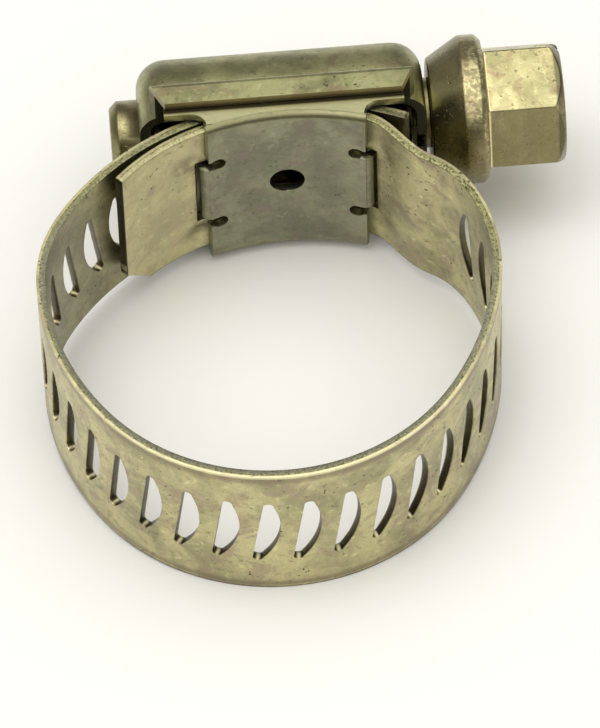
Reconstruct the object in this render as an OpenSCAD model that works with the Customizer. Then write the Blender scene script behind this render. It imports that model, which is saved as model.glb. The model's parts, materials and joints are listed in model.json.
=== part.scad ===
// Worm-drive hose clamp with a perforated band, lying with the band's axis along Z.
// The origin is the centre of the round hose seat at the middle of the band's width.
// The housing is at +Y, its screw runs along X and the hex head points to +X.
// Bearings are angles clockwise from +Y seen from +Z, which is the way the band runs
// from its fixed end, round the loop, to its free end inside the housing.

/* [Hose seat] */
// Inner diameter of the round front of the band
seat_d = 27.8; // [24:0.1:34]
// Least angle of the round front
seat_angle = 108; // [100:1:120]

/* [Band] */
// Width of the band
band_w = 12.7; // [10:0.1:16]
// Thickness of the band
band_t = 0.6; // [0.4:0.05:0.75]
// Distance from slot to slot, which is also the pitch of the worm
slot_pitch = 2.67; // [2.2:0.01:3.3]
// Length of a slot across the band
slot_l = 6.5; // [5:0.1:8]
// Width of a slot at its middle
slot_w = 1.45; // [1.3:0.01:1.6]
// Width of a slot at its blunt ends
slot_end_w = 0.5; // [0.3:0.05:0.7]
// Number of slots in each hinged length of the band
link_slots = 4; // [2:1:4]
// Bearing where the shoulder of the fixed end meets the loop
shoulder_bearing = 73; // [65:1:80]
// How far the shoulder stands outside the round seat
shoulder_out = 1.72; // [1:0.01:2.4]
// Angle of the shoulder above the X axis
shoulder_rise = 22.1; // [18:0.1:26]
// Bearing where the free end starts to follow the saddle's curve
free_bearing = 304; // [296:1:312]
// Angle past the housing's middle at which the free end stops
free_stop = 26; // [20:1:27]
// Length of the fixed end's tongue past the saddle
tongue_l = 7.4; // [5:0.1:9]
// Radius of the tongue's curve
tongue_r = 14.3; // [13:0.1:17]

/* [Saddle] */
// Offset of the housing's middle from the seat's middle
housing_x = 2.2; // [0:0.1:3]
// Height of the saddle's inner face above the seat's round
saddle_rise = 0.45; // [0.3:0.01:1]
// Radius of the saddle's inner face
saddle_r = 17; // [16:0.1:20]
// Length of the saddle along the screw
saddle_l = 10.6; // [8:0.1:12]
// Thickness of the saddle's sheet
saddle_t = 0.6; // [0.4:0.05:0.8]
// Length of the saddle's ears
ear_l = 16.2; // [13:0.1:17]
// Radius of the corner below each ear
ear_corner_r = 1.1; // [0.6:0.1:1.4]
// Diameter of the hole in the middle of the saddle
saddle_hole_d = 2.4; // [1:0.1:3]
// Diameter of the four relief holes
relief_d = 1; // [0.6:0.1:1.2]
// Distance between two relief holes across the band
relief_span = 6.4; // [5:0.1:8]

/* [Housing] */
// Length of the housing
housing_l = 19.5; // [17:0.1:24]
// Outer radius of the vault over the worm
vault_r = 4.95; // [4.7:0.05:6]
// Thickness of the housing's sheet
housing_t = 0.65; // [0.5:0.05:0.8]
// Radius of the vault's rounded ends
vault_end_r = 2; // [1:0.1:3]
// Length of the flange at its crease
flange_l = 17.9; // [15:0.1:19]
// Depth of the lip below the flange's top
lip_h = 1.9; // [1.5:0.05:2.2]
// Distance from the screw's axis down to the flange's top
flange_drop = 1.7; // [1.5:0.05:1.9]

/* [Screw] */
// Outer radius of the worm thread
worm_r = 3.35; // [3.1:0.05:3.6]
// Radius of the worm's core
worm_core_r = 2.55; // [2.2:0.05:2.6]
// Depth that the thread reaches into the slots
engagement = 0.55; // [0.4:0.01:0.6]
// Width of the thread at its crest
crest_w = 0.36; // [0.2:0.02:0.5]
// Width of the thread at its root
root_w = 1.15; // [0.8:0.05:1.4]
// Radius of the plain journals
journal_r = 2.4; // [2:0.05:2.5]
// Length of the tip outside the housing
tip_l = 1.95; // [1:0.05:3]
// Width across the flats of the hex head
hex_af = 7.94; // [7:0.01:10]
// Length of the hex head
hex_l = 5.3; // [4:0.1:8]
// Radius of the collar's rim
rim_r = 5.1; // [4.6:0.05:6]
// Radius of the collar next to the housing
neck_r = 3.7; // [3:0.05:4.2]
// Length of the collar's cone
cone_l = 2.27; // [1.5:0.01:3.5]
// Length of the collar's rim
rim_l = 1.13; // [0.6:0.01:2]
// Width of the driver slot in the head
driver_w = 1.3; // [0.8:0.1:1.6]
// Depth of the driver slot
driver_h = 1.6; // [1:0.1:2.2]

/* [Clearances] */
// Between the saddle and the fixed end of the band
lap_gap = 0.05; // [0.02:0.01:0.1]
// Between the fixed end and the free end of the band
layer_gap = 0.2; // [0.15:0.01:0.3]
// Between the band's edges and the saddle's walls
edge_gap = 0.2; // [0.1:0.01:0.3]
// Between the saddle's walls and the housing's lips
ear_gap = 0.05; // [0.02:0.01:0.1]
// Radial clearance of the journals
journal_gap = 0.05; // [0.02:0.01:0.08]
// End clearance of the worm between the walls
thrust_gap = 0.1; // [0.05:0.01:0.2]
// Between the housing and the collar
collar_gap = 0.35; // [0.2:0.05:0.6]

/* [Hidden] */
$fn = 96;
far = 60;
run_step = 0.7;

// A unit vector along a bearing
function toward(a) = [sin(a), cos(a)];
// The two radii that carry a curve from one place and bearing to another in equal turns
function biarc(from, a0, to, a1) =
    let (am = (a0 + a1) / 2, u = toward(am) - toward(a0), v = toward(a1) - toward(am),
        d = to - from, det = u.x * v.y - v.x * u.y)
    [(d.x * v.y - v.x * d.y) / det, (u.x * d.y - d.x * u.y) / det];
function sum_to(list, n) = n <= 0 ? 0 : list[n - 1] + sum_to(list, n - 1);

seat_r = seat_d / 2;
seat_mid = seat_r + band_t / 2;
seat_slots = round(seat_angle * PI / 180 * seat_mid / slot_pitch);
seat_half = seat_slots * slot_pitch / 2 / seat_mid * 180 / PI;

// Layers, measured from the centre of the saddle's curve
arch = [housing_x, seat_r + saddle_rise - saddle_r];
fixed_r = saddle_r + saddle_t + lap_gap;
free_r = fixed_r + band_t + layer_gap;
free_mid = free_r + band_t / 2;
axis_y = arch.y + free_r + band_t - engagement + worm_r;
axis = [housing_x, axis_y, 0];

// The loop: arcs that meet smoothly, as [mid radius, first bearing, last bearing]
shoulder = (seat_mid + shoulder_out) * [cos(shoulder_rise), sin(shoulder_rise)];
seat_a0 = 180 - seat_half;
seat_a1 = 180 + seat_half;
right_mid = (shoulder_bearing + seat_a0) / 2;
left_mid = (seat_a1 + free_bearing) / 2;
right_r = biarc(shoulder, shoulder_bearing, seat_mid * toward(seat_a0), seat_a0);
left_r = biarc(seat_mid * toward(seat_a1), seat_a1,
    arch + free_mid * toward(free_bearing), free_bearing);
arcs = [
    [right_r[0], shoulder_bearing, right_mid],
    [right_r[1], right_mid, seat_a0],
    [seat_mid, seat_a0, seat_a1],
    [left_r[0], seat_a1, left_mid],
    [left_r[1], left_mid, free_bearing],
    [free_mid, free_bearing, 360 + free_stop],
];
// Centre of each arc
centres = [
    shoulder - right_r[0] * toward(shoulder_bearing),
    (seat_mid - right_r[1]) * toward(seat_a0),
    [0, 0],
    (seat_mid - left_r[0]) * toward(seat_a1),
    arch + (free_mid - left_r[1]) * toward(free_bearing),
    arch,
];
arc_l = [for (a = arcs) a[0] * (a[2] - a[1]) * PI / 180];
// Distances along the band are counted from the first end of the round front
path_start = -sum_to(arc_l, 2);
path_end = path_start + sum_to(arc_l, len(arcs));
function arc_start(i) = path_start + sum_to(arc_l, i);
function bearing_on(i, s) = arcs[i][1] + (s - arc_start(i)) / arcs[i][0] * 180 / PI;
function arc_at(s, i = 0) = i == len(arcs) - 1 || s < arc_start(i + 1) ? i : arc_at(s, i + 1);
function place_at(s) = let (i = arc_at(s)) centres[i] + arcs[i][0] * toward(bearing_on(i, s));
function bearing_at(s) = bearing_on(arc_at(s), s);

// The band bends at hinges that lie between two slots, counted here in slots
hinge_room = 0.2;
right_slots = floor(-path_start / slot_pitch - hinge_room);
left_slots = floor(arc_l[3] / slot_pitch - hinge_room / 2);
hinges = [-right_slots, link_slots - 1 - right_slots, 0, link_slots, seat_slots - link_slots,
    seat_slots, seat_slots + left_slots];
function hinge_at(i) = hinges[i] * slot_pitch;

// The thread is centred in the slot nearest the middle of the housing
top_station = arc_start(5) + free_mid * (360 - free_bearing) * PI / 180;
mesh_slot = (round(top_station / slot_pitch - 0.5) + 0.5) * slot_pitch;
mesh_x = free_mid * sin((mesh_slot - top_station) / free_mid * 180 / PI);
slot_lean = atan(slot_pitch / (2 * PI * (worm_r - engagement / 2)));

// Walls across the band
saddle_in_z = band_w / 2 + edge_gap;
saddle_out_z = saddle_in_z + saddle_t;
lip_in_z = saddle_out_z + ear_gap;
lip_out_z = lip_in_z + housing_t;
flange_y = axis_y - flange_drop;
ear_top = flange_y - housing_t - ear_gap;
ear_lap = 0.1;
ear_base = arch.y + fixed_r + ear_lap;
saddle_turn = asin(saddle_l / 2 / saddle_r);
// The relief holes lie this angle in from the saddle's ends
relief_turn = 2.2;

// Stations of the screw along X, from the middle of the housing
wall_in = housing_l / 2 - housing_t;
thread_end = wall_in - thrust_gap;
thrust_l = 0.6;
thrust_r = worm_r - 0.05;
// The rounding inside the vault stays clear of the ring at the worm's end
vault_in_r = vault_r - housing_t;
vault_in_end_r = min(vault_end_r - housing_t, 1.35 * (vault_in_r - thrust_r));
cone_x = housing_l / 2 + collar_gap;
rim_x = cone_x + cone_l;
rim_chamfer = 0.4;
hex_x = rim_x + rim_l + rim_chamfer;
hex_end = hex_x + hex_l;
hex_r = hex_af / 2 / cos(30);
hex_chamfer = 0.7;
hex_chamfer_in = 0.84;
hex_turn = 40.6;
// Angle of the driver slot from one of the head's corners
driver_turn = 100;
tip_round = 0.5;
core_lap = 0.5;

// One flat ring sector about a centre, between two bearings
module sector(centre, r_in, r_out, a0, a1) {
    translate(centre) intersection() {
        difference() {
            circle(r_out);
            circle(r_in);
        }
        polygon([[0, 0], far * toward(a0), 1.5 * far * toward((a0 + a1) / 2), far * toward(a1)]);
    }
}

// A line moved sideways, to its left for a positive distance
function beside(line, d) = [for (i = [0 : len(line) - 1])
    let (a = line[max(i - 1, 0)], b = line[min(i + 1, len(line) - 1)], w = (b - a) / norm(b - a))
    line[i] + d * [-w.y, w.x]];
function backwards(line) = [for (i = [len(line) - 1 : -1 : 0]) line[i]];
// A line along the loop, pushed out from the middle of the band's thickness
function loop_line(from, to, out) = let (n = ceil((to - from) / run_step))
    [for (i = [0 : n]) let (s = from + (to - from) * i / n)
        place_at(s) + out * toward(bearing_at(s))];

// The band's edge view between two distances along it: a true ring sector on one arc,
// and a fine outline where it takes in more than one
module run(from, to) {
    i = arc_at(from + 0.01);
    if (arc_at(to - 0.01) == i) {
        sector(centres[i], arcs[i][0] - band_t / 2, arcs[i][0] + band_t / 2,
            bearing_on(i, from), bearing_on(i, to));
    } else {
        polygon(concat(loop_line(from, to, band_t / 2), backwards(loop_line(from, to, -band_t / 2))));
    }
}

// Outline of one slot: one straight side, one bowed side and blunt ends
module slot_outline() {
    bow = slot_w - slot_end_w;
    bow_r = (pow(slot_l / 2, 2) + bow * bow) / (2 * bow);
    rotate(slot_lean) intersection() {
        translate([bow_r - slot_w / 2, 0]) circle(bow_r);
        translate([-slot_w, -slot_l / 2]) square([1.5 * slot_w, slot_l]);
    }
}

module slots(from, to) {
    near = 0.01;
    for (k = [ceil(from / slot_pitch - 0.5 + near) : floor(to / slot_pitch - 0.5 - near)]) {
        s = (k + 0.5) * slot_pitch;
        translate(place_at(s)) rotate([0, 0, -bearing_at(s)]) rotate([90, 0, 0])
            linear_extrude(4 * band_t, center = true) slot_outline();
    }
}

module band_run(from, to, slots_to) {
    difference() {
        linear_extrude(band_w, center = true) run(from, to);
        slots(from, slots_to);
    }
}

module link(i) {
    color("tan") band_run(hinge_at(i - 1), hinge_at(i), hinge_at(i));
}

module band_link_1() { link(1); }
module band_link_2() { link(2); }
module band_link_3() { link(3); }
module band_link_4() { link(4); }
module band_link_5() { link(5); }
module band_link_6() { link(6); }

module band_free_end() {
    color("tan") band_run(hinge_at(len(hinges) - 1), path_end, path_end - slot_w);
}

// A cubic curve between two places, leaving and arriving along the given ways
function curve(p, way_p, q, way_q, n) = [for (i = [1 : n])
    let (t = i / n, u = 1 - t)
    u * u * u * p + 3 * u * u * t * (p + way_p) + 3 * u * t * t * (q - way_q) + t * t * t * q];
// The way the band runs at a bearing
function along(a) = [cos(a), -sin(a)];
// Points of an arc about a centre, between two bearings
function arc_line(centre, r, a0, a1) = let (n = ceil((a1 - a0) * PI / 180 * r / run_step))
    [for (i = [0 : n]) centre + r * toward(a0 + (a1 - a0) * i / n)];
function inner_points(line) = [for (i = [1 : len(line) - 1]) line[i]];

// The fixed end: tongue, lap over the saddle, then a step down to the shoulder in an S
lap_mid = fixed_r + band_t / 2;
lap_turn = asin(saddle_l / 2 / lap_mid);
tongue_centre = arch + (lap_mid - tongue_r) * toward(-lap_turn);
tongue_turn = tongue_l / tongue_r * 180 / PI;
tongue_corner = 2.2;
lap_end = arch + lap_mid * toward(lap_turn);
kink = (lap_end + shoulder) / 2 + [0.45, 0.3];
kink_turn = 31;
leave = 1.9;
arrive = 2.1;
curve_steps = 12;
step_line = concat(
    arc_line(tongue_centre, tongue_r, -lap_turn - tongue_turn, -lap_turn),
    inner_points(arc_line(arch, lap_mid, -lap_turn, lap_turn)),
    curve(lap_end, leave * along(lap_turn), kink, arrive * along(kink_turn), curve_steps),
    curve(kink, leave * along(kink_turn), shoulder, arrive * along(shoulder_bearing), curve_steps));
// One side of the fixed end, pushed out from the middle of the band's thickness
function fixed_side(out) = let (side = beside(step_line, out))
    concat([for (i = [0 : len(side) - 2]) side[i]], loop_line(path_start, hinge_at(0), out));

module band_fixed_end() {
    color("tan") difference() {
        linear_extrude(band_w, center = true)
            polygon(concat(fixed_side(band_t / 2), backwards(fixed_side(-band_t / 2))));
        slots(path_start, hinge_at(0));
        // the tongue's lower corner is cut off
        translate(tongue_centre) rotate([0, 0, lap_turn + tongue_turn])
            translate([0, tongue_r, -band_w / 2]) rotate([90, 0, 0])
            linear_extrude(4 * band_t, center = true)
            polygon([[-1, -1], [tongue_corner, -1], [tongue_corner, 0],
                [0, tongue_corner], [-1, tongue_corner]]);
    }
}

module saddle() {
    color("silver") difference() {
        union() {
            linear_extrude(2 * saddle_out_z, center = true)
                sector(arch, saddle_r, saddle_r + saddle_t, -saddle_turn, saddle_turn);
            for (side = [-1, 1]) {
                translate([0, 0, side * (saddle_in_z + saddle_t / 2)])
                    linear_extrude(saddle_t, center = true) saddle_wall();
            }
        }
        translate([housing_x, arch.y + saddle_r, 0]) rotate([90, 0, 0])
            cylinder(h = 4 * saddle_t, d = saddle_hole_d, center = true);
        for (end = [-1, 1], side = [-1, 1]) {
            translate([arch.x, arch.y, side * relief_span / 2])
                rotate([0, 0, -end * (saddle_turn - relief_turn)])
                translate([0, saddle_r, 0]) rotate([90, 0, 0])
                cylinder(h = 4 * saddle_t, d = relief_d, center = true, $fn = 32);
        }
    }
}

// One side wall of the saddle, wider above where its ears lie under the housing's lip
module saddle_wall() {
    difference() {
        translate([housing_x - saddle_l / 2, arch.y]) square([saddle_l, ear_top - arch.y]);
        translate(arch) circle(saddle_r);
    }
    translate([housing_x - ear_l / 2, ear_base]) square([ear_l, ear_top - ear_base]);
    for (end = [0, 1]) {
        translate([housing_x, ear_base]) mirror([end, 0]) translate([saddle_l / 2, -ear_corner_r])
            difference() {
                translate([-0.1, 0]) square([ear_corner_r + 0.1, ear_corner_r + 0.1]);
                translate([ear_corner_r, 0]) circle(ear_corner_r);
            }
    }
}

// A half-round block along the screw with rounded upper ends, reaching down to low
module vault(r, half, low, end_r) {
    intersection() {
        rotate([90, 0, 90]) linear_extrude(2 * half, center = true) {
            circle(r);
            translate([low, -r]) square([-low, 2 * r]);
        }
        linear_extrude(4 * r, center = true) {
            translate([-half, low]) square([2 * half, r - end_r - low]);
            translate([end_r - half, low]) square([2 * (half - end_r), r - low]);
            for (end = [-1, 1]) {
                translate([end * (half - end_r), r - end_r]) circle(end_r);
            }
        }
    }
}

module housing() {
    low = -flange_drop - housing_t;
    mitre = lip_h / 2;
    color("silver") translate(axis) difference() {
        union() {
            vault(vault_r, housing_l / 2, low, vault_end_r);
            for (side = [-1, 1]) {
                translate([0, 0, side * (vault_r + lip_out_z - housing_t) / 2])
                    linear_extrude(lip_out_z - vault_r + housing_t, center = true)
                    translate([-flange_l / 2, low]) square([flange_l, housing_t]);
                translate([0, 0, side * (lip_in_z + lip_out_z) / 2])
                    linear_extrude(housing_t, center = true)
                    polygon([[-flange_l / 2, -flange_drop], [flange_l / 2, -flange_drop],
                        [flange_l / 2 - mitre, -flange_drop - lip_h],
                        [mitre - flange_l / 2, -flange_drop - lip_h]]);
            }
        }
        vault(vault_in_r, wall_in, low - 1, vault_in_end_r);
        rotate([0, 90, 0]) cylinder(h = 2 * housing_l, r = journal_r + journal_gap, center = true);
    }
}

// The thread is one ribbon of points: root, crest, crest, root, round and round the core
thread_steps = 40;
thread_from = thrust_l - thread_end;
thread_to = thread_end - thrust_l;
thread_turns = floor((thread_to - thread_from - root_w - 1) / slot_pitch);
thread_total = thread_turns * thread_steps;
thread_profile = [[-root_w / 2, worm_core_r], [-crest_w / 2, worm_r], [crest_w / 2, worm_r],
    [root_w / 2, worm_core_r]];
// Its crest faces the band at mesh_x
helix_start = mesh_x - slot_pitch * (floor(thread_turns / 2) + 0.5);
function round_at(i, x, r) = let (a = 360 * i / thread_steps) [x, r * cos(a), r * sin(a)];

// Triangles from one corner to each stretch of a line of corners
function fan(apex, line) = [for (i = [0 : len(line) - 2]) [apex, line[i], line[i + 1]]];

module thread() {
    n = thread_steps;
    total = thread_total;
    last = total - n;
    // places in the list of points: the ribbon's, the two end rings', then the two ends' middles
    function v(i, k) = 4 * i + k;
    function low(i) = 4 * (total + 1) + i % n;
    function high(i) = 4 * (total + 1) + n + i % n;
    low_middle = 4 * (total + 1) + 2 * n;
    points = concat(
        [for (i = [0 : total], q = thread_profile)
            round_at(i, helix_start + slot_pitch * i / n + q[0], q[1])],
        [for (i = [0 : n - 1]) round_at(i, thread_from, worm_core_r)],
        [for (i = [0 : n - 1]) round_at(i, thread_to, worm_core_r)],
        [[thread_from, 0, 0], [thread_to, 0, 0]]);
    ribbon = [for (i = [0 : total - 1], k = [0 : 2])
        each fan(v(i, k), [v(i, k + 1), v(i + 1, k + 1), v(i + 1, k)])];
    lands = [for (i = [0 : last - 1]) each fan(v(i, 3), [v(i + n, 0), v(i + n + 1, 0), v(i + 1, 3)])];
    low_side = concat(
        [for (i = [0 : n - 2]) each fan(low(i), [v(i, 0), v(i + 1, 0), low(i + 1)])],
        fan(v(n - 1, 0), [v(n, 0), v(0, 3), v(0, 0), low(0), low(n - 1)]));
    high_side = concat(
        [for (i = [1 : n - 1]) each fan(v(last + i, 3), [high(i), high(i + 1), v(last + i + 1, 3)])],
        fan(v(last + 1, 3), [v(last, 3), v(total, 0), v(total, 3), high(0), high(1)]));
    ends = concat(fan(v(0, 0), [v(0, 3), v(0, 2), v(0, 1)]),
        fan(v(total, 0), [v(total, 1), v(total, 2), v(total, 3)]),
        fan(low_middle, [for (i = [0 : n]) low(i)]),
        fan(low_middle + 1, [for (i = [n : -1 : 0]) high(i)]));
    polyhedron(points, concat(ribbon, lands, low_side, high_side, ends));
}

module rod(r, from, to) {
    translate([from, 0, 0]) rotate([0, 90, 0]) cylinder(h = to - from, r = r);
}

module worm_screw() {
    color("khaki") translate(axis) {
        thread();
        rod(journal_r, -housing_l / 2 - tip_l + tip_round, cone_x + core_lap);
        for (x = [-thread_end, thread_to]) {
            rod(thrust_r, x, x + thrust_l);
        }
        translate([-housing_l / 2 - tip_l, 0, 0]) rotate([0, 90, 0])
            cylinder(h = tip_round, r1 = journal_r - tip_round, r2 = journal_r);
        difference() {
            union() {
                translate([cone_x, 0, 0]) rotate([0, 90, 0]) cylinder(h = cone_l, r1 = neck_r, r2 = rim_r);
                rod(rim_r, rim_x, rim_x + rim_l);
                translate([rim_x + rim_l, 0, 0]) rotate([0, 90, 0])
                    cylinder(h = rim_chamfer, r1 = rim_r, r2 = rim_r - rim_chamfer);
                intersection() {
                    rotate([hex_turn, 0, 0]) translate([rim_x, 0, 0]) rotate([0, 90, 0])
                        cylinder(h = hex_end - rim_x, r = hex_r, $fn = 6);
                    union() {
                        rod(hex_r + 1, rim_x, hex_end - hex_chamfer);
                        translate([hex_end - hex_chamfer, 0, 0]) rotate([0, 90, 0])
                            cylinder(h = hex_chamfer, r1 = hex_r, r2 = hex_r - hex_chamfer_in);
                    }
                }
            }
            rotate([hex_turn + driver_turn, 0, 0]) translate([hex_end - driver_h, -driver_w / 2, -far / 2])
                cube([far, driver_w, far]);
        }
    }
}

housing();
saddle();
worm_screw();
band_fixed_end();
band_link_1();
band_link_2();
band_link_3();
band_link_4();
band_link_5();
band_link_6();
band_free_end();
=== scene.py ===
"""Looks of a worm-drive hose clamp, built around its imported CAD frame.

Lengths are in mm until a piece is finished. Bearings are in degrees, with 0 along +Y and
90 along +X.
"""
import bisect
import json
import math

import bmesh
import bpy
from mathutils import Matrix, Vector


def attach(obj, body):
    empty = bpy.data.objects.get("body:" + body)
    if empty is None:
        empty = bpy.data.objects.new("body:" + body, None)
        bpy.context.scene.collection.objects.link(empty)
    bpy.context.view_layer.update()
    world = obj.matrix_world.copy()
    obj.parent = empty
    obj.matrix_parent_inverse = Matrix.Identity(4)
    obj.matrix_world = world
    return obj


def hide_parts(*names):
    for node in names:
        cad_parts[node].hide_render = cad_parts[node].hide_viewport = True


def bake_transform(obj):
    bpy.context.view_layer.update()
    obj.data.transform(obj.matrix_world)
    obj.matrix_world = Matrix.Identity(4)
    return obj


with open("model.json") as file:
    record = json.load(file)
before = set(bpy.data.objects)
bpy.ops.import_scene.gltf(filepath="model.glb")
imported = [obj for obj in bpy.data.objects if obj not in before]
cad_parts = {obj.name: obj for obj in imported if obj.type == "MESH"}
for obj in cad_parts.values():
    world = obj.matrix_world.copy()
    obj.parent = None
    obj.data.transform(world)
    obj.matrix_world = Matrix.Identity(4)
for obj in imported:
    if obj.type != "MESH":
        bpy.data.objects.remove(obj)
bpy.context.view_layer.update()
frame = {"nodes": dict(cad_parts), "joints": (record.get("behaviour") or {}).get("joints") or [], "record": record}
MM = 0.001
mounts = {m["name"]: m for m in frame["record"]["mounts"]}
joints = {j["name"]: j for j in frame["joints"]}
AXIS = Vector(joints["screw_turn"]["pos_m"]) / MM

# ---------------------------------------------------------------- sizes, as the CAD has them
SEAT_R = mounts["hose_seat"]["dims"]["r_mm"]
SEAT_SLOTS = 10
BAND_W, BAND_T, PITCH = 12.7, 0.6, 2.67
SLOT_L, SLOT_W, SLOT_END_W = 6.5, 1.45, 0.5
WORM_R, ENGAGEMENT = 3.35, 0.55
SADDLE_R, SADDLE_RISE, SADDLE_L, SADDLE_T = 17.0, 0.45, 10.6, 0.6
SADDLE_IN_Z, EAR_L = 6.55, 16.2
HOUSING_L, HOUSING_T, VAULT_R, VAULT_END_R = 19.5, 0.65, 4.95, 2.0
FLANGE_L, FLANGE_DROP, LIP_H, LIP_Z = 17.9, 1.7, 1.9, 7.85
LAP_GAP, LAYER_GAP = 0.05, 0.2
SHOULDER_BEARING, SHOULDER_OUT, SHOULDER_RISE = 73.0, 1.72, 22.1
FREE_BEARING, FREE_STOP = 304.0, 26.0
TONGUE_R, TONGUE_L, TONGUE_CORNER = 14.3, 7.4, 2.2
KINK_BEARING, KINK_OUT, LEAVE, ARRIVE = 31, Vector((0.45, 0.3)), 1.9, 2.1

FIXED_R = SADDLE_R + SADDLE_T + LAP_GAP
FREE_MID = FIXED_R + BAND_T + LAYER_GAP + BAND_T / 2
LAP_MID = FIXED_R + BAND_T / 2
ARCH = Vector((AXIS.x, SEAT_R + SADDLE_RISE - SADDLE_R))
SEAT_MID = SEAT_R + BAND_T / 2
SADDLE_TURN = math.asin(SADDLE_L / 2 / SADDLE_R)
SADDLE_OUT_Z = SADDLE_IN_Z + SADDLE_T
FLANGE_Y = AXIS.y - FLANGE_DROP
LIP_IN = LIP_Z - HOUSING_T

# how near counts as the same place, from strict to loose
STRICT, NEAR, LOOSE = 1e-5, 1e-4, 1e-3

# ---------------------------------------------------------------- the band's line
LINE_STEP, CURVE_STEPS = 0.1, 40


def toward(bearing):
    """The way that a bearing points."""
    a = math.radians(bearing)
    return Vector((math.sin(a), math.cos(a)))


def along(bearing):
    """The way that the band runs where its outer side faces a bearing."""
    a = math.radians(bearing)
    return Vector((math.cos(a), -math.sin(a)))


def biarc(start, a0, end, a1):
    """The two radii that carry a curve from one place and bearing to another in equal turns."""
    mid = (a0 + a1) / 2
    u, v, d = toward(mid) - toward(a0), toward(a1) - toward(mid), end - start
    det = u.x * v.y - v.x * u.y
    return (d.x * v.y - v.x * d.y) / det, (u.x * d.y - d.x * u.y) / det


def arc_points(centre, radius, a0, a1):
    """Places and bearings along an arc."""
    n = math.ceil(abs(a1 - a0) * math.pi / 180 * radius / LINE_STEP)
    bearings = [a0 + (a1 - a0) * i / n for i in range(n + 1)]
    return [(centre + radius * toward(bearing), bearing) for bearing in bearings]


def curve_points(p, way_p, q, way_q):
    """Places and bearings along a smooth curve that leaves p and arrives at q the given ways."""
    a, b = p + way_p, q - way_q
    found = []
    for i in range(CURVE_STEPS + 1):
        t = i / CURVE_STEPS
        u = 1 - t
        at = u * u * u * p + 3 * u * u * t * a + 3 * u * t * t * b + t * t * t * q
        way = u * u * (a - p) + 2 * u * t * (b - a) + t * t * (q - b)
        found.append((at, math.degrees(math.atan2(-way.y, way.x))))
    return found


seat_half = math.degrees(SEAT_SLOTS * PITCH / 2 / SEAT_MID)
seat_a0, seat_a1 = 180 - seat_half, 180 + seat_half
rise = math.radians(SHOULDER_RISE)
shoulder = (SEAT_MID + SHOULDER_OUT) * Vector((math.cos(rise), math.sin(rise)))
right_r = biarc(shoulder, SHOULDER_BEARING, SEAT_MID * toward(seat_a0), seat_a0)
left_r = biarc(SEAT_MID * toward(seat_a1), seat_a1,
               ARCH + FREE_MID * toward(FREE_BEARING), FREE_BEARING)
right_mid, left_mid = (SHOULDER_BEARING + seat_a0) / 2, (seat_a1 + FREE_BEARING) / 2
loop = [
    (shoulder - right_r[0] * toward(SHOULDER_BEARING), right_r[0], SHOULDER_BEARING, right_mid),
    ((SEAT_MID - right_r[1]) * toward(seat_a0), right_r[1], right_mid, seat_a0),
    (Vector((0, 0)), SEAT_MID, seat_a0, seat_a1),
    ((SEAT_MID - left_r[0]) * toward(seat_a1), left_r[0], seat_a1, left_mid),
    (ARCH + (FREE_MID - left_r[1]) * toward(FREE_BEARING), left_r[1], left_mid, FREE_BEARING),
    (ARCH, FREE_MID, FREE_BEARING, 360 + FREE_STOP),
]
lap_turn = math.degrees(math.asin(SADDLE_L / 2 / LAP_MID))
tongue_turn = math.degrees(TONGUE_L / TONGUE_R)
tongue_centre = ARCH + (LAP_MID - TONGUE_R) * toward(-lap_turn)
lap_end = ARCH + LAP_MID * toward(lap_turn)
kink = (lap_end + shoulder) / 2 + KINK_OUT
fixed_end = [
    arc_points(tongue_centre, TONGUE_R, -lap_turn - tongue_turn, -lap_turn),
    arc_points(ARCH, LAP_MID, -lap_turn, lap_turn),
    curve_points(lap_end, LEAVE * along(lap_turn), kink, ARRIVE * along(KINK_BEARING)),
    curve_points(kink, LEAVE * along(KINK_BEARING), shoulder, ARRIVE * along(SHOULDER_BEARING)),
]
parts = fixed_end + [arc_points(*arc) for arc in loop]
line = [parts[0][0]] + [point for part in parts for point in part[1:]]
stations = [0.0]
for before, after in zip(line, line[1:]):
    stations.append(stations[-1] + (after[0] - before[0]).length)
# stations count from the start of the round seat, which the fixed end and two arcs come before
seat_starts = sum(len(part) - 1 for part in parts[:len(fixed_end) + 2])
stations = [s - stations[seat_starts] for s in stations]
BAND_START, BAND_END = stations[0], stations[-1]
LAP_AT = stations[len(parts[0]) - 1 + (len(parts[1]) - 1) // 2]


def place(s, out, z):
    """A place on the band, from its station, its height off the sheet's middle, and its z."""
    i = min(max(bisect.bisect_right(stations, s) - 1, 0), len(stations) - 2)
    t = (s - stations[i]) / (stations[i + 1] - stations[i])
    p = line[i][0].lerp(line[i + 1][0], t)
    bearing = line[i][1] + (line[i + 1][1] - line[i][1]) * t
    p = p + out * toward(bearing)
    return Vector((p.x, p.y, z))


# ---------------------------------------------------------------- mesh helpers
ALONG_X = Matrix.Rotation(math.pi / 2, 4, "Y")
ALONG_Y = Matrix.Rotation(math.pi / 2, 4, "X")


def everything(bm):
    return bm.verts[:] + bm.edges[:] + bm.faces[:]


def quarter(steps):
    """The angles of a quarter turn, in radians."""
    return [math.pi / 2 * i / steps for i in range(steps + 1)]


def finished(bm, name, recalc=True):
    """Turns a bmesh in mm into a smooth-shaded piece at the origin."""
    if recalc:
        bmesh.ops.recalc_face_normals(bm, faces=bm.faces)
    bmesh.ops.scale(bm, vec=(MM, MM, MM), verts=bm.verts)
    mesh = bpy.data.meshes.new(name)
    bm.to_mesh(mesh)
    bm.free()
    obj = bpy.data.objects.new(name, mesh)
    bpy.context.scene.collection.objects.link(obj)
    mesh.shade_smooth()
    return obj


def coat(obj, paint):
    """Gives a piece its material, and nothing else."""
    obj.data.materials.clear()
    obj.data.materials.append(paint.material)


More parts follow.
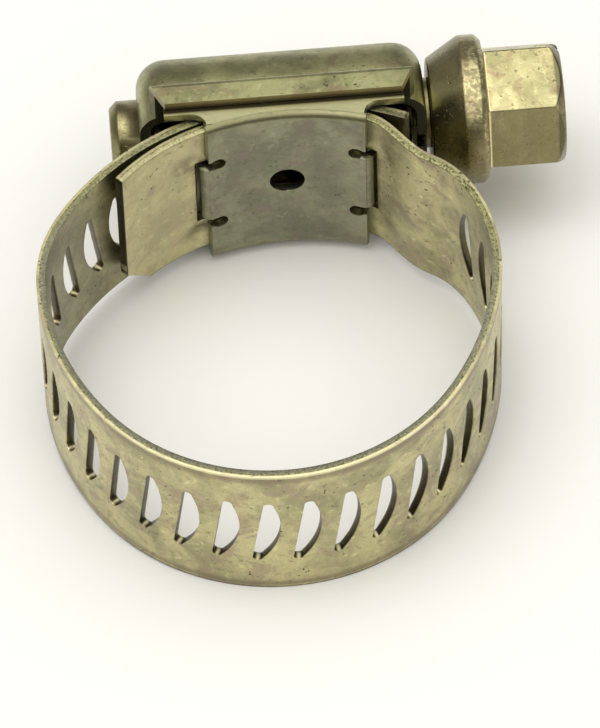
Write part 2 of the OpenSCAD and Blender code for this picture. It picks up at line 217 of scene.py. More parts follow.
def cut(obj, tool, operation="DIFFERENCE"):
    """Cuts a piece with a tool or joins the two, and removes the tool."""
    m = obj.modifiers.new("cut", "BOOLEAN")
    m.object, m.operation, m.solver = tool, operation, "EXACT"
    shown = obj.evaluated_get(bpy.context.evaluated_depsgraph_get())
    mesh = bpy.data.meshes.new_from_object(shown)
    obj.modifiers.clear()
    obj.data = mesh
    bpy.data.objects.remove(tool)


def round_off(bm, edges, size, segments, clamp=False, **more):
    """Rounds some of a bmesh's edges."""
    bmesh.ops.bevel(bm, geom=edges, offset=size, offset_type="OFFSET", affect="EDGES",
                    segments=segments, profile=0.5, material=-1, clamp_overlap=clamp, **more)


def even_shading(obj, weight):
    """Shades a piece mainly by its large faces."""
    m = obj.modifiers.new("even", "WEIGHTED_NORMAL")
    m.keep_sharp, m.weight = True, weight


def soften(obj, width, segments):
    """Rounds a piece's sharp edges and evens its shading."""
    m = obj.modifiers.new("round", "BEVEL")
    m.width, m.segments, m.miter_outer = width * MM, segments, "MITER_ARC"
    m.limit_method, m.angle_limit = "ANGLE", math.radians(40)
    even_shading(obj, 80)


def prism(points, start, length, plane):
    """A closed outline on two axes, drawn out along the third from start."""
    if plane == "yz":
        corners, way = [(start, *p) for p in points], (length, 0, 0)
    else:
        corners, way = [(*p, start) for p in points], (0, 0, length)
    bm = bmesh.new()
    face = bm.faces.new([bm.verts.new(corner) for corner in corners])
    found = bmesh.ops.extrude_face_region(bm, geom=[face])["geom"]
    moved = [v for v in found if isinstance(v, bmesh.types.BMVert)]
    bmesh.ops.translate(bm, vec=way, verts=moved)
    bmesh.ops.recalc_face_normals(bm, faces=bm.faces)
    return bm


def barrel(centre, turn, radius, length, steps=64):
    """A cylinder whose length lies along the turned Z."""
    bm = bmesh.new()
    bmesh.ops.create_cone(bm, cap_ends=True, segments=steps, radius1=radius, radius2=radius,
                          depth=length, matrix=Matrix.Translation(centre) @ turn)
    return bm


# ---------------------------------------------------------------- the band as a flat strip
# Stations lie along X, the width along Y and the thickness along Z.
# Each slot has a ring of faces around it, with SIDE faces on a long side and END on a short one.
SIDE, END, RING_CUTS = 24, 8, 3
RING_H = 3.9
RING_CORNERS = 2 * (SIDE + END)
EDGE_ROWS = [4.3, 4.8, 5.3, 5.7, 6.0, BAND_W / 2]
ROWS = ([-y for y in reversed(EDGE_ROWS)] + [RING_H * (2 * i / SIDE - 1) for i in range(SIDE + 1)]
        + EDGE_ROWS)
PLAIN_STEP = 0.33
SLOT_CAP = 0.28
SLOT_LEAN = math.atan(PITCH / (2 * math.pi * (WORM_R - ENGAGEMENT / 2)))
SLOTS_FROM, SLOTS_TO = -7, 26

# two windows take the saddle's tabs, and a wide hole lies over the saddle's middle one
WINDOW_H, WINDOW_PAST, WINDOW_SHORT = 3.25, 0.82, 0.6
window_out = SADDLE_TURN * LAP_MID
WINDOWS = [(LAP_AT - window_out - WINDOW_PAST, LAP_AT - window_out + WINDOW_SHORT),
           (LAP_AT + window_out - WINDOW_SHORT, LAP_AT + window_out + WINDOW_PAST)]
LAP_HOLE_R = 2.1

# rims to round: outer side or not, at the band's edge or at an opening, size and segments
RIMS = [(None, False, 0.05, 2), (True, True, 0.26, 4), (False, True, 0.07, 2)]
SHARP = 1.2

# hand marks and press marks: station, place across, depth and size
DENTS = [(BAND_START + 2.6, 3.2, -0.12, 0.7), (LAP_AT + 7.3, 3.6, 0.12, 0.6),
         (BAND_START + 6.4, -4.9, 0.42, 1.0), (LAP_AT + 7.2, -4.4, 0.2, 0.9)]
DENT_REACH = 3


def ring_share(i):
    """Which side of a four-sided ring a corner lies on, and how far along."""
    if i < SIDE:
        return "right", i / SIDE
    if i < SIDE + END:
        return "top", (i - SIDE) / END
    if i < 2 * SIDE + END:
        return "left", (i - SIDE - END) / SIDE
    return "bottom", (i - 2 * SIDE - END) / END


def slot_point(i):
    """A corner on a slot's outline: one straight side, one bowed side and two round ends."""
    bow = SLOT_W - SLOT_END_W
    bow_r = ((SLOT_L / 2) ** 2 + bow * bow) / (2 * bow)
    high = SLOT_L / 2 - SLOT_CAP
    side, t = ring_share(i)

    def bowed(y):
        return bow_r - SLOT_W / 2 - math.sqrt(bow_r * bow_r - y * y)

    if side == "right":
        x, y = SLOT_W / 2, high * (2 * t - 1)
    elif side == "left":
        y = high * (1 - 2 * t)
        x = bowed(y)
    else:
        up = 1 if side == "top" else -1
        x0, x1 = SLOT_W / 2, bowed(high)
        a = math.pi * (t if side == "top" else 1 - t)
        x = (x0 + x1) / 2 + (x0 - x1) / 2 * math.cos(a)
        y = up * (high + SLOT_CAP * math.sin(a))
    p = Vector((x, y))
    c, s = math.cos(SLOT_LEAN), math.sin(SLOT_LEAN)
    return Vector((p.x * c - p.y * s, p.x * s + p.y * c, 0))


def rim_point(i):
    """The corner of a slot's outer ring that goes with a corner of its outline."""
    side, t = ring_share(i)
    if side == "right":
        return Vector((PITCH / 2, RING_H * (2 * t - 1), 0))
    if side == "left":
        return Vector((-PITCH / 2, RING_H * (1 - 2 * t), 0))
    if side == "top":
        return Vector((PITCH * (0.5 - t), RING_H, 0))
    return Vector((PITCH * (t - 0.5), -RING_H, 0))


def extrude_rows(bm, edges, moves):
    """Extrudes a line of edges step by step. Each move takes a corner's place to its next one."""
    for move in moves:
        found = bmesh.ops.extrude_edge_only(bm, edges=edges)["geom"]
        edges = [e for e in found if isinstance(e, bmesh.types.BMEdge)]
        for v in {v for e in edges for v in e.verts}:
            v.co = move(v.co)


def slot_cell():
    """One length of the strip with one slot, one pitch long."""
    bm = bmesh.new()
    order = bm.verts.layers.int.new("order")
    at_slot = bm.verts.layers.float.new("at_slot")
    bmesh.ops.create_circle(bm, cap_ends=False, segments=RING_CORNERS, radius=1)
    bm.verts.ensure_lookup_table()
    for i, v in enumerate(sorted(bm.verts, key=lambda v: math.atan2(v.co.y, v.co.x))):
        v[order], v[at_slot] = i, 1
        v.co = slot_point(i)
    for v in bmesh.ops.extrude_edge_only(bm, edges=bm.edges[:])["geom"]:
        if isinstance(v, bmesh.types.BMVert):
            v.co = rim_point(v[order])
            v[at_slot] = 0
    spokes = [e for e in bm.edges if e.verts[0][at_slot] != e.verts[1][at_slot]]
    bmesh.ops.subdivide_edges(bm, edges=spokes, cuts=RING_CUTS, use_grid_fill=True)
    for side in (1, -1):
        edges = [e for e in bm.edges if all(abs(v.co.y - side * RING_H) < NEAR for v in e.verts)]
        extrude_rows(bm, edges, [lambda c, y=y: Vector((c.x, side * y, 0)) for y in EDGE_ROWS])
    mesh = bpy.data.meshes.new("cell")
    bm.to_mesh(mesh)
    bm.free()
    return mesh


def plain_length(bm, s0, s1):
    """A length of the strip with no slot, with the same rows across as a cell."""
    verts = [bm.verts.new((s0, y, 0)) for y in ROWS]
    edges = [bm.edges.new(pair) for pair in zip(verts, verts[1:])]
    n = max(1, round((s1 - s0) / PLAIN_STEP))
    extrude_rows(bm, edges, [lambda c: c + Vector(((s1 - s0) / n, 0, 0))] * n)


def in_opening(face):
    """Whether a face lies in one of the two windows or in the wide hole."""
    at = face.calc_center_median()
    in_window = abs(at.y) < WINDOW_H and any(s0 < at.x < s1 for s0, s1 in WINDOWS)
    return in_window or (at - Vector((LAP_AT, 0, 0))).length < LAP_HOLE_R


def rims(bm, outer_side, at_edge):
    """Sharp edges along the strip's faces, on one side or both, at its edges or its openings."""
    found = []
    for e in bm.edges:
        if len(e.link_faces) != 2 or e.calc_face_angle(0) < SHARP:
            continue
        on_edge = all(abs(abs(v.co.y) - BAND_W / 2) < LOOSE for v in e.verts)
        outward = all(v.co.z > 0 for v in e.verts)
        level = abs(e.verts[0].co.z - e.verts[1].co.z) < NEAR
        if level and on_edge == at_edge and outer_side in (None, outward):
            found.append(e)
    return found


def flat_band():
    """The whole band as a flat closed strip."""
    bm = bmesh.new()
    cell = slot_cell()
    for k in range(SLOTS_FROM, SLOTS_TO):
        n = len(bm.verts)
        bm.from_mesh(cell)
        bm.verts.ensure_lookup_table()
        bmesh.ops.translate(bm, vec=((k + 0.5) * PITCH, 0, 0), verts=bm.verts[n:])
    bpy.data.meshes.remove(cell)
    stops = [BAND_START] + [s for window in WINDOWS for s in window] + [SLOTS_FROM * PITCH]
    for s0, s1 in zip(stops, stops[1:]):
        plain_length(bm, s0, s1)
    plain_length(bm, SLOTS_TO * PITCH, BAND_END)
    bmesh.ops.remove_doubles(bm, verts=bm.verts, dist=LOOSE)
    bmesh.ops.delete(bm, geom=[f for f in bm.faces if in_opening(f)], context="FACES")
    # the tongue's lower corner is cut off
    corner = Vector((BAND_START + TONGUE_CORNER / 2, -BAND_W / 2 + TONGUE_CORNER / 2, 0))
    bmesh.ops.bisect_plane(bm, geom=everything(bm), plane_co=corner, plane_no=(-1, -1, 0),
                           clear_outer=True)
    bmesh.ops.recalc_face_normals(bm, faces=bm.faces)
    bmesh.ops.solidify(bm, geom=bm.faces[:], thickness=BAND_T)
    zs = [v.co.z for v in bm.verts]
    bmesh.ops.translate(bm, vec=(0, 0, -(min(zs) + max(zs)) / 2), verts=bm.verts)
    for outer_side, at_edge, size, segments in RIMS:
        round_off(bm, rims(bm, outer_side, at_edge), size, segments, clamp=True)
    return bm


def dents(s, y):
    """How far the sheet is pushed out of its line by hand marks and press marks."""
    depth_here = 0.0
    for at_s, at_y, depth, size in DENTS:
        away = ((s - at_s) / size) ** 2 + ((y - at_y) / size) ** 2
        if away < DENT_REACH ** 2:
            depth_here += depth * math.exp(-away)
    return depth_here


def band_piece(flat, s0, s1, name):
    """One bending length of the band, between two stations. None is the band's own end."""
    bm = flat.copy()
    for s, side in ((s0, -1), (s1, 1)):
        if s is None:
            continue
        bmesh.ops.bisect_plane(bm, geom=everything(bm), dist=STRICT, plane_co=(s, 0, 0),
                               plane_no=(side, 0, 0), clear_outer=True)
        rim = [e for e in bm.edges if e.is_boundary]
        bmesh.ops.holes_fill(bm, edges=rim)
        for e in rim:
            e.smooth = False
    strip = bm.verts.layers.float_vector.new("strip")
    for v in bm.verts:
        s, y, out = v.co
        v[strip] = Vector((s, y, out)) * MM
        v.co = place(s, out + dents(s, y), y)
    return finished(bm, name)


# ---------------------------------------------------------------- materials
class Value:
    """An output of a node. Arithmetic on it adds Math nodes."""

    def __init__(self, paint, socket):
        self.paint, self.socket = paint, socket

    def _math(self, operation, *others):
        return self.paint.node("ShaderNodeMath", {"operation": operation}, dict(enumerate(others)))

    def __add__(self, other):
        return self._math("ADD", self, other)

    __radd__ = __add__

    def __mul__(self, other):
        return self._math("MULTIPLY", self, other)

    __rmul__ = __mul__

    def __sub__(self, other):
        return self._math("SUBTRACT", self, other)

    def __rsub__(self, other):
        return self._math("SUBTRACT", other, self)

    def size(self):
        return self._math("ABSOLUTE", self)

    def above(self, low, high):
        """0 below low, 1 above high, smooth between."""
        return self.paint.node("ShaderNodeMapRange", {"interpolation_type": "SMOOTHSTEP"},
                               {"Value": self, "From Min": low, "From Max": high})

    def past(self, low, high):
        """The same for a place on a piece, with both limits in mm."""
        return self.above(low * MM, high * MM)

    def between(self, rise, fall):
        """0 before a rise and after a fall, 1 between the two, with their limits in mm."""
        return self.past(*rise) * (1 - self.past(*fall))


class Paint:
    """A material under construction."""

    def __init__(self, name, attribute=None):
        self.material = bpy.data.materials.new(name)
        self.material.use_nodes = True
        self.tree = self.material.node_tree
        self.shader = self.tree.nodes["Principled BSDF"]
        if attribute:
            self.where = self.node("ShaderNodeAttribute", {"attribute_name": attribute},
                                   output="Vector")
        else:
            self.where = self.node("ShaderNodeTexCoord", output="Object")

    @classmethod
    def on(cls, tree):
        """Paint for a node tree that is there already."""
        paint = cls.__new__(cls)
        paint.tree = tree
        return paint

    def node(self, kind, settings=None, inputs=None, output=0):
        n = self.tree.nodes.new(kind)
        for key, value in (settings or {}).items():
            if key == "stops":
                ramp = n.color_ramp
                while len(ramp.elements) < len(value):
                    ramp.elements.new(0.5)
                for e, (at, colour) in zip(ramp.elements, value):
                    e.position, e.color = at, (*colour, 1)
            else:
                setattr(n, key, value)
        for key, value in (inputs or {}).items():
            if isinstance(value, Value):
                self.tree.links.new(value.socket, n.inputs[key])
            else:
                n.inputs[key].default_value = value
        return Value(self, n.outputs[output])

    def stretched(self, x, y, z):
        return self.node("ShaderNodeVectorMath", {"operation": "MULTIPLY"},
                         {0: self.where, 1: (x, y, z)})

    def away_from(self, x, y):
        """The distance from a line along the third axis, given in mm."""
        return self.node("ShaderNodeVectorMath", {"operation": "DISTANCE"},
                         {0: self.stretched(1, 1, 0), 1: (x * MM, y * MM, 0)}, output="Value")

    def noise(self, per_mm, detail=3.0, rough=0.55, where=None, warp=0.0):
        return self.node("ShaderNodeTexNoise", {}, {
            "Vector": where or self.where, "Scale": per_mm / MM, "Detail": detail,
            "Roughness": rough, "Distortion": warp})

    def mix(self, share, a, b):
        a, b = (c if isinstance(c, Value) else (*c, 1) for c in (a, b))
        return self.node("ShaderNodeMix", {"data_type": "RGBA"}, {0: share, 6: a, 7: b}, output=2)

    def axis(self, letter):
        return self.node("ShaderNodeSeparateXYZ", {}, {0: self.where}, output=letter)

    def normal(self, letter):
        way = self.node("ShaderNodeTexCoord", output="Normal")
        return self.node("ShaderNodeSeparateXYZ", {}, {0: way}, output=letter)

    def into(self, socket, value):
        if isinstance(value, Value):
            self.tree.links.new(value.socket, self.shader.inputs[socket])
        else:
            self.shader.inputs[socket].default_value = value

    def over(self, share, colour):
        """Lays a colour over what the material has, where share is high."""
        base = self.shader.inputs["Base Color"].links[0].from_socket
        self.into("Base Color", self.mix(share, Value(self, base), colour))


SPECK_COLOUR = (0.05, 0.045, 0.025)
BUMP_HEIGHT = 0.03


def steel(name, light, dark, stain, roughness=0.3, attribute=None, blotch=1.0, specks=1.0):
    """Stained stainless sheet: cloudy patches, stains, fine pits and a soft roll grain."""
    p = Paint(name, attribute)
    shade = tuple(c * 0.45 for c in dark)
    shine = tuple(min(1.0, c * 1.45) for c in light)
    greenish = tuple(c * k for c, k in zip(light, (0.55, 0.72, 0.55)))
    clouds = p.noise(0.2, 4, 0.6, warp=0.5)
    mottle = p.noise(1.3, 6, 0.7, warp=0.3)
    grain = p.noise(7.0, 3, 0.75)
    tint = p.noise(0.5, 3, 0.6, warp=0.8)
    green = p.noise(0.75, 4, 0.6, where=p.stretched(1.3, 0.8, 1.1))
    patch = p.noise(0.6, 2).above(0.48, 0.64)
    speck = p.noise(3.4, 1, 0.4, warp=0.2).above(0.66, 0.72)
    marks = speck * (0.25 + patch * 0.75) * specks
    colour = p.mix(clouds.above(0.38, 0.62), dark, light)
    for share, layer in (
            (mottle.above(0.53, 0.78) * 0.85 * blotch, shade),
            ((1 - mottle.above(0.28, 0.46)) * 0.6 * blotch, shine),
            (tint.above(0.52, 0.66) * 0.6, stain),
            (green.above(0.56, 0.72) * 0.35, greenish),
            (marks * 0.7, SPECK_COLOUR),
            (grain.above(0.48, 0.8) * 0.35, shade)):
        colour = p.mix(share, colour, layer)
    p.into("Base Color", colour)
    p.into("Metallic", 1.0)
    p.into("Roughness", roughness + 0.22 * mottle + 0.10 * clouds - 0.10)
    relief = mottle * 0.5 + grain * 0.25 - marks * 0.8 + clouds * 0.7
    p.into("Normal", p.node("ShaderNodeBump", {}, {
        "Height": relief, "Distance": BUMP_HEIGHT * MM, "Strength": 1.0}, output="Normal"))
    return p


# band: the pattern follows the strip, by station, place across and height off its middle
band_steel = steel("band_steel", (0.58, 0.53, 0.29), (0.35, 0.325, 0.185), (0.36, 0.27, 0.20),
                   attribute="strip", specks=1.4)
station, across, height = (band_steel.axis(letter) for letter in "XYZ")
width = across.size()
outer_side = height.past(-0.05, 0.1)
inner_side = 1 - outer_side
# painted shade beside the rolled shoulder, and the sheared face of both long edges
band_steel.over(width.between((5.35, 5.9), (6.08, 6.12)) * outer_side * 0.6, (0.21, 0.165, 0.115))
sheared = band_steel.node("ShaderNodeValToRGB", {"stops": [
    (0.34, (0.05, 0.047, 0.022)), (0.46, (0.21, 0.205, 0.095)), (0.64, (0.40, 0.38, 0.20))]},
    {0: band_steel.noise(6.5, 3, 0.7)})
band_steel.over(width.past(6.24, 6.29) * (1 - height.past(0.10, 0.13)), sheared)
# a painted highlight along the outer corner, mainly at the front
corner = across.past(6.16, 6.19) * height.past(0.13, 0.16)
front = station.between((-4, 5), (20, 32))
band_steel.over(corner * (0.12 + front * 0.6), (0.80, 0.745, 0.47))
# the greyer inside of the loop, its darker left part and the pale tongue
band_steel.over(inner_side * station.between((-14, -8), (40, 48)) * 0.45, (0.31, 0.305, 0.265))
band_steel.over(inner_side * station.past(22, 33) * 0.35, (0.15, 0.15, 0.095))
tongue = inner_side * (1 - station.past(BAND_START + 7, BAND_START + 9))
band_steel.over(tongue * 0.35, (0.66, 0.60, 0.36))
# painted shade on the tongue's cut end, and smears beside the saddle: station, place across, reach and share
cut_end_shade = 1 - station.past(BAND_START + 0.03, BAND_START + 0.09)
band_steel.over(cut_end_shade * 0.9, (0.035, 0.028, 0.02))
for at_s, at_y, reach, share in (
        (BAND_START + 5.6, 3.4, 1.5, 0.6), (BAND_START + 6.6, -4.4, 1.0, 0.7),
        (LAP_AT + 7.4, 3.4, 0.7, 0.5), (LAP_AT + 7.0, -4.6, 0.9, 0.5)):
    away = band_steel.away_from(at_s, at_y)
    smear = (1 - away.past(reach * 0.3, reach)) * band_steel.noise(1.1, 3).above(0.3, 0.55)
    band_steel.over(smear * inner_side * share, (0.19, 0.16, 0.09))
# painted shade along the lower edge, painted shade on the slots' walls with a painted highlight where each has a
# burr at its lower end, and painted shade on the part under the worm
lower = (1 - across.past(-6.25, -6.15)) * height.past(-0.1, 0.1)
band_steel.over(lower * 0.7, (0.16, 0.13, 0.09))
in_slot = (1 - height.size().past(0.21, 0.25)) * (1 - width.past(3.7, 3.8))
# painted highlight on the burr at each slot's lower end
burr_highlight = 1 - across.past(-3.2, -3.1)
band_steel.over(in_slot * (1 - burr_highlight) * 0.86, (0.055, 0.043, 0.024))
band_steel.over(in_slot * burr_highlight * 0.6, (0.66, 0.58, 0.36))
# painted shade on the free end's inner face where it runs under the worm and housing
HOUSING_HALF_TURN = 16
under_from = BAND_END - math.radians(FREE_STOP + HOUSING_HALF_TURN) * FREE_MID
band_steel.over(station.past(under_from - 1, under_from) * inner_side * 0.7, (0.09, 0.08, 0.05))

# saddle: painted light on the walls, painted shade along the bend below them and in the gaps under the ears
saddle_steel = steel("saddle_steel", (0.31, 0.305, 0.205), (0.21, 0.21, 0.145),
                     (0.24, 0.19, 0.16), blotch=0.7, specks=0.5)
wall_side = saddle_steel.axis("Z").size().past(6.6, 7.0)
saddle_steel.over(wall_side * 0.75, (0.50, 0.49, 0.27))
# painted shade along the bend into the walls
low_wall = 1 - saddle_steel.away_from(ARCH.x, ARCH.y).past(17.32, 17.62)
saddle_steel.over(low_wall * wall_side * 0.8, (0.15, 0.14, 0.075))
# painted shade in the gaps under the ears
saddle_steel.over(saddle_steel.axis("Y").past(15.18, 15.38) * wall_side * 0.93,
                  (0.02, 0.018, 0.012))

# housing: painted shade inside, with stained lip edges
housing_steel = steel("housing_steel", (0.40, 0.39, 0.20), (0.25, 0.245, 0.125),
                      (0.27, 0.20, 0.13))
facing_in = 1 - housing_steel.normal("Y").above(-0.6, -0.3)
past_lip = housing_steel.axis("Z").size().past(7.12, 7.22)
housing_steel.over(facing_in * (1 - past_lip) * 0.93, (0.025, 0.024, 0.016))
housing_steel.over(facing_in * past_lip * 0.7, (0.33, 0.25, 0.17))

# screw: places along it count from the middle of the housing
screw_steel = steel("screw_steel", (0.62, 0.565, 0.30), (0.36, 0.33, 0.165), (0.32, 0.22, 0.14),
                    roughness=0.22)
from_middle = screw_steel.axis("X") - AXIS.x * MM
# painted shade darkens the thread and the cone, up to the collar
cone = 1 - from_middle.past(12.2, 12.5)
screw_steel.over(cone * 0.72, (0.13, 0.115, 0.055))
collar_rim = (1 - cone) * (1 - from_middle.past(13.75, 13.95))
screw_steel.over(collar_rim * screw_steel.noise(2.2, 4, 0.7).above(0.40, 0.55) * 0.75,
                 (0.19, 0.16, 0.09))
# painted shade on the collar's and hex's faces that turn toward -Y
low_flat = (1 - screw_steel.normal("Y").above(-0.85, -0.6)) * (1 - cone)
screw_steel.over(low_flat * 0.8, (0.21, 0.18, 0.09))
# painted shade on the hex's far end
screw_steel.over(from_middle.past(18.55, 18.75) * 0.7, (0.08, 0.075, 0.045))
# a painted highlight: a thin bright ring on the collar's rim
screw_steel.over(from_middle.between((13.86, 13.92), (14.02, 14.1)) * 0.8, (0.80, 0.70, 0.40))

# ---------------------------------------------------------------- the band's pieces
# stations in slots: where the pieces meet, and two more past the outermost two
MEET = [-3.5, -0.5, 2.5, 4.5, 7.5, 12.5]
BEND_FROM, BEND_TO = -5.7, 15.5
cuts = [None] + [k * PITCH for k in MEET] + [None]
bends = [k * PITCH for k in (BEND_FROM, *MEET, BEND_TO)]
links = [f"band_link_{i}" for i in range(1, 7)]
bodies = ["frame", *links, "band_free_end"]
stood_for = [["band_fixed_end"], *([link] for link in links[:-1]), [links[-1], "band_free_end"]]
flat = flat_band()
for i, nodes in enumerate(stood_for):
    piece = band_piece(flat, cuts[i], cuts[i + 1], f"band_{i + 1}")
    coat(piece, band_steel)
    even_shading(piece, 50)
    bodies[i + 1]
    place(bends[i], 0, 0) * MM
    place(bends[i + 1], 0, 0) * MM
    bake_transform(piece)
    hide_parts(*nodes)
flat.free()

# ---------------------------------------------------------------- the housing
VAULT_STEPS, END_SEGMENTS = 40, 8
HOUSING_LOW = -FLANGE_DROP - HOUSING_T
HOLLOW_HALF, HOLLOW_END_R, BORE_R = 9.1, 1.4, 2.45
LIP_BEND, FLANGE_LAP = 0.55, 0.5


def vault_solid(radius, half, low, end_r, name):
    """A long block with a round back, rounded at both ends. low is its foot below the axis."""
    turns = [math.pi * i / VAULT_STEPS for i in range(VAULT_STEPS + 1)]
    back_line = [(AXIS.y + radius * math.sin(t), -radius * math.cos(t)) for t in turns]
    outline = [(AXIS.y + low, -radius), *back_line, (AXIS.y + low, radius)]
    bm = prism(outline, AXIS.x - half, 2 * half, "yz")
    ends = [e for e in bm.edges if abs(e.verts[0].co.x - e.verts[1].co.x) < NEAR
            and not all(abs(v.co.y - AXIS.y - low) < NEAR for v in e.verts)]
    round_off(bm, ends, end_r, END_SEGMENTS)
    bmesh.ops.remove_doubles(bm, verts=bm.verts, dist=NEAR)
    bmesh.ops.dissolve_degenerate(bm, edges=bm.edges, dist=NEAR)
    return finished(bm, name)


def lipped_flange(side):
    """One flange with its lip bent down, mitred at both ends."""
    lip_bend = [(FLANGE_Y - LIP_BEND + LIP_BEND * math.cos(t),
                 LIP_Z - LIP_BEND + LIP_BEND * math.sin(t)) for t in quarter(6)]
    outline = [(FLANGE_Y, VAULT_R - FLANGE_LAP), *lip_bend,
               (FLANGE_Y - LIP_H, LIP_Z), (FLANGE_Y - LIP_H, LIP_IN),
               (FLANGE_Y - HOUSING_T, LIP_IN), (FLANGE_Y - HOUSING_T, VAULT_R - FLANGE_LAP)]
    bm = prism([(y, side * z) for y, z in outline], AXIS.x - FLANGE_L / 2, FLANGE_L, "yz")
    for end in (-1, 1):
        bmesh.ops.bisect_plane(bm, geom=everything(bm), clear_outer=True,
                               plane_co=(AXIS.x + end * FLANGE_L / 2, FLANGE_Y, 0),
                               plane_no=(end * 2, -1, 0))
        bmesh.ops.holes_fill(bm, edges=[e for e in bm.edges if e.is_boundary])
    return finished(bm, "flange")


housing = vault_solid(VAULT_R, HOUSING_L / 2, HOUSING_LOW, VAULT_END_R, "housing_cover")
cut(housing, vault_solid(VAULT_R - HOUSING_T, HOLLOW_HALF, HOUSING_LOW - 1, HOLLOW_END_R,
                         "hollow"))
cut(housing, finished(barrel(AXIS, ALONG_X, BORE_R, 2 * HOUSING_L), "bore"))
for side in (-1, 1):
    cut(housing, lipped_flange(side), "UNION")
coat(housing, housing_steel)
soften(housing, 0.11, 3)
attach(housing, "frame")
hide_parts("housing")

# ---------------------------------------------------------------- the saddle
BRIDGE_STEPS, BEND_R, WALL_LAP = 24, 0.42, 0.01
EAR_TOP, EAR_BASE, EAR_R = 16.8, 15.1, 1.05
HOLE_R = 1.2
RELIEF_R, RELIEF_Z, RELIEF_TURN = 0.55, 3.2, 2.2
NOTCH_Z, NOTCH_W, NOTCH_LOW, NOTCH_HIGH, NOTCH_IN, NOTCH_OUT = 3.15, 0.84, -1, 1.6, -0.55, 0.5
TAB_W, TAB_BEND, TAB_REACH, TAB_ROOT, TAB_TOP = 5.44, 0.72, 0.52, -0.9, 1.2
end_turn = math.degrees(SADDLE_TURN)


def sweep(radius, a0, a1):
    """Places along an arc about the arch's centre."""
    return [ARCH + radius * toward(a0 + (a1 - a0) * i / BRIDGE_STEPS)
            for i in range(BRIDGE_STEPS + 1)]


def bridge():
    """The curved sheet, with its two long lower edges rounded for the bends into the walls."""
    outline = (sweep(SADDLE_R, -end_turn, end_turn)
               + sweep(SADDLE_R + SADDLE_T, end_turn, -end_turn))
    bm = prism(outline, -SADDLE_OUT_Z, 2 * SADDLE_OUT_Z, "xy")

    def at_bend(v):
        return (abs(v.co.z) > SADDLE_OUT_Z - LOOSE
                and abs((v.co.xy - ARCH).length - SADDLE_R) < LOOSE)

    lower = [e for e in bm.edges if abs(e.verts[0].co.z - e.verts[1].co.z) < 1
             and all(at_bend(v) for v in e.verts)]
    round_off(bm, lower, BEND_R, 6)
    return finished(bm, "saddle_bridge")


def wall_outline():
    """A side wall with an ear at each end."""
    turn = math.degrees(math.asin(SADDLE_L / 2 / (SADDLE_R + BEND_R)))
    outline = sweep(SADDLE_R + BEND_R - WALL_LAP, -turn, turn)
    for end in (1, -1):
        ear = [Vector((AXIS.x + end * (SADDLE_L / 2 + EAR_R - EAR_R * math.cos(t)),
                       EAR_BASE - EAR_R + EAR_R * math.sin(t))) for t in quarter(8)]
        ear += [Vector((AXIS.x + end * EAR_L / 2, y)) for y in (EAR_BASE, EAR_TOP)]
        outline += ear if end > 0 else ear[::-1]
    return outline


def on_end(end, s, r):
    """A place near one end of the bridge, s past it and r above its lower face."""
    bearing = end * end_turn
    return ARCH + toward(bearing) * (SADDLE_R + r) + along(bearing) * end * s


def notch(end, side):
    """A cut beside a tab's root."""
    corners = ((NOTCH_IN, NOTCH_LOW), (NOTCH_OUT, NOTCH_LOW),
               (NOTCH_OUT, NOTCH_HIGH), (NOTCH_IN, NOTCH_HIGH))
    bm = prism([on_end(end, s, r) for s, r in corners], side * NOTCH_Z - NOTCH_W / 2, NOTCH_W,
               "xy")
    return finished(bm, "notch")


def tab(end):
    """A tab rolled up through the band's window."""
    curl = [(TAB_ROOT, 0.0)]
    curl += [(TAB_REACH - TAB_BEND + TAB_BEND * math.sin(t), TAB_BEND - TAB_BEND * math.cos(t))
             for t in quarter(8)]
    curl += [(TAB_REACH, TAB_TOP), (TAB_REACH - SADDLE_T, TAB_TOP),
             (TAB_REACH - SADDLE_T, TAB_BEND), (TAB_REACH - TAB_BEND, SADDLE_T),
             (TAB_ROOT, SADDLE_T)]
    bm = prism([on_end(end, s, r) for s, r in curl], -TAB_W / 2, TAB_W, "xy")
    return finished(bm, "tab")


saddle = bridge()
hole_at = Vector((AXIS.x, SEAT_R + SADDLE_RISE, 0))
cut(saddle, finished(barrel(hole_at, ALONG_Y, HOLE_R, 4), "hole"))
for end in (-1, 1):
    for side in (-1, 1):
        bearing = end * (end_turn - RELIEF_TURN)
        at = (ARCH + SADDLE_R * toward(bearing)).to_3d()
        at.z = side * RELIEF_Z
        turn = Matrix.Rotation(math.radians(-bearing), 4, "Z") @ ALONG_Y
        cut(saddle, finished(barrel(at, turn, RELIEF_R, 4, 32), "relief"))
for end in (-1, 1):
    for side in (-1, 1):
        cut(saddle, notch(end, side))
    cut(saddle, tab(end), "UNION")
# the walls are joined last
for start in (-SADDLE_OUT_Z, SADDLE_IN_Z):
    cut(saddle, finished(prism(wall_outline(), start, SADDLE_T, "xy"), "wall"), "UNION")
coat(saddle, saddle_steel)
soften(saddle, 0.07, 2)
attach(saddle, "frame")
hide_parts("saddle")

# ---------------------------------------------------------------- the screw
# Its thread, collar and hex come from the solid. Past the thread, both ends get rounded edges.
THREAD_HALF, SCREW_ROUND = 10, 0.12
FLAT_TURN, SHARP_TURN = math.radians(0.6), math.radians(25)
bm = bmesh.new()
bm.from_mesh(frame["nodes"]["worm_screw"].data)
bmesh.ops.scale(bm, vec=(1 / MM,) * 3, verts=bm.verts)
bmesh.ops.remove_doubles(bm, verts=bm.verts, dist=2 * NEAR)
bmesh.ops.dissolve_limit(bm, angle_limit=FLAT_TURN, verts=bm.verts, edges=bm.edges)
sharp = [e for e in bm.edges if len(e.link_faces) == 2 and e.calc_face_angle(0) > SHARP_TURN
         and all(abs(v.co.x - AXIS.x) > THREAD_HALF for v in e.verts)]
round_off(bm, sharp, SCREW_ROUND, 3, miter_outer="ARC")
bmesh.ops.remove_doubles(bm, verts=bm.verts, dist=NEAR)
screw = finished(bm, "screw", recalc=False)
coat(screw, screw_steel)
even_shading(screw, 90)
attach(screw, "screw")
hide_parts("worm_screw")

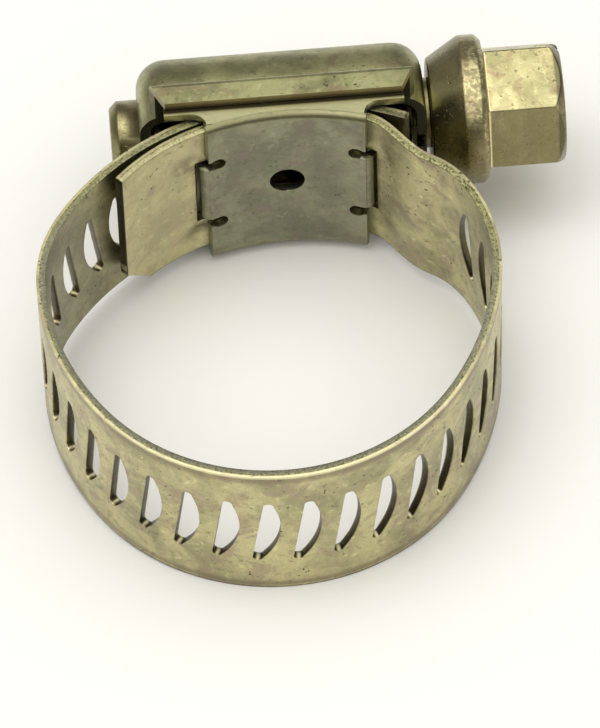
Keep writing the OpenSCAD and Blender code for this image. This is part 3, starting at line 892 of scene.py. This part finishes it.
# ---------------------------------------------------------------- floor, light and camera
# The clamp lies on the band's front edge and on the housing's lip, so the floor tilts to both.
BAND_FOOT_Y, LIP_FOOT_Y, FLOOR_GAP, FLOOR_SIZE = -14.5, 15.6, 0.02, 400
tilt = math.atan((LIP_Z - BAND_W / 2) / (LIP_FOOT_Y - BAND_FOOT_Y))
bm = bmesh.new()
bmesh.ops.create_grid(bm, x_segments=8, y_segments=8, size=FLOOR_SIZE)
floor = finished(bm, "floor", recalc=False)
foot = Vector((0, BAND_FOOT_Y, -BAND_W / 2 - FLOOR_GAP)) * MM
floor.matrix_world = Matrix.Translation(foot) @ Matrix.Rotation(-tilt, 4, "X")
paper = Paint("floor_paper")
paper.into("Base Color", paper.mix(paper.noise(0.02, 2), (0.86, 0.86, 0.84), (0.90, 0.895, 0.875)))
paper.into("Roughness", 0.7)
coat(floor, paper)

# a dome that is bright overhead and dim round the sides
UPWARDS = (0.0, -0.10, 0.995)
world = bpy.data.worlds.new("studio")
bpy.context.scene.world = world
world.use_nodes = True
sky = Paint.on(world.node_tree)
facing = sky.node("ShaderNodeVectorMath", {"operation": "DOT_PRODUCT"}, {
    0: sky.node("ShaderNodeTexCoord", output="Generated"), 1: UPWARDS}, output="Value")
glow = sky.node("ShaderNodeMapRange", {"interpolation_type": "SMOOTHSTEP"}, {
    "Value": facing, "From Min": 0.55, "From Max": 0.85, "To Min": 0.38, "To Max": 1.75})
background = world.node_tree.nodes["Background"]
background.inputs["Color"].default_value = (1.0, 0.985, 0.94, 1)
world.node_tree.links.new(glow.socket, background.inputs["Strength"])

LAMP_AT, LAMP_AIM, LAMP_SIZE, LAMP_POWER = Vector((-110, 10, 420)), Vector((0, 5, 0)), 200, 0.3
lamp = bpy.data.objects.new("overhead", bpy.data.lights.new("overhead", "AREA"))
lamp.data.shape, lamp.data.size, lamp.data.energy = "DISK", LAMP_SIZE * MM, LAMP_POWER
bpy.context.scene.collection.objects.link(lamp)
lamp.location = LAMP_AT * MM
lamp.rotation_mode = "QUATERNION"
lamp.rotation_quaternion = (LAMP_AT - LAMP_AIM).to_track_quat("Z", "Y")

AZIMUTH, ELEVATION, ROLL = math.radians(-3.21), math.radians(54.40), math.radians(-1.88)
AIM, AWAY, LENS, SENSOR = Vector((1.79, -1.03, 0)), 500, 370.73, 36.0
back = Vector((math.sin(AZIMUTH) * math.cos(ELEVATION), -math.cos(AZIMUTH) * math.cos(ELEVATION),
               math.sin(ELEVATION)))
level_right = Vector((math.cos(AZIMUTH), math.sin(AZIMUTH), 0))
level_up = back.cross(level_right)
right = math.cos(ROLL) * level_right + math.sin(ROLL) * level_up
up = -math.sin(ROLL) * level_right + math.cos(ROLL) * level_up
camera = bpy.data.objects.new("camera", bpy.data.cameras.new("camera"))
bpy.context.scene.collection.objects.link(camera)
camera.data.lens, camera.data.sensor_width = LENS, SENSOR
camera.data.clip_start, camera.data.clip_end = 0.01, 10
stand = Matrix((right, up, back)).transposed().to_4x4()
camera.matrix_world = Matrix.Translation((AIM + back * AWAY) * MM) @ stand
bpy.context.scene.camera = camera
bpy.context.scene.view_settings.view_transform = "Standard"
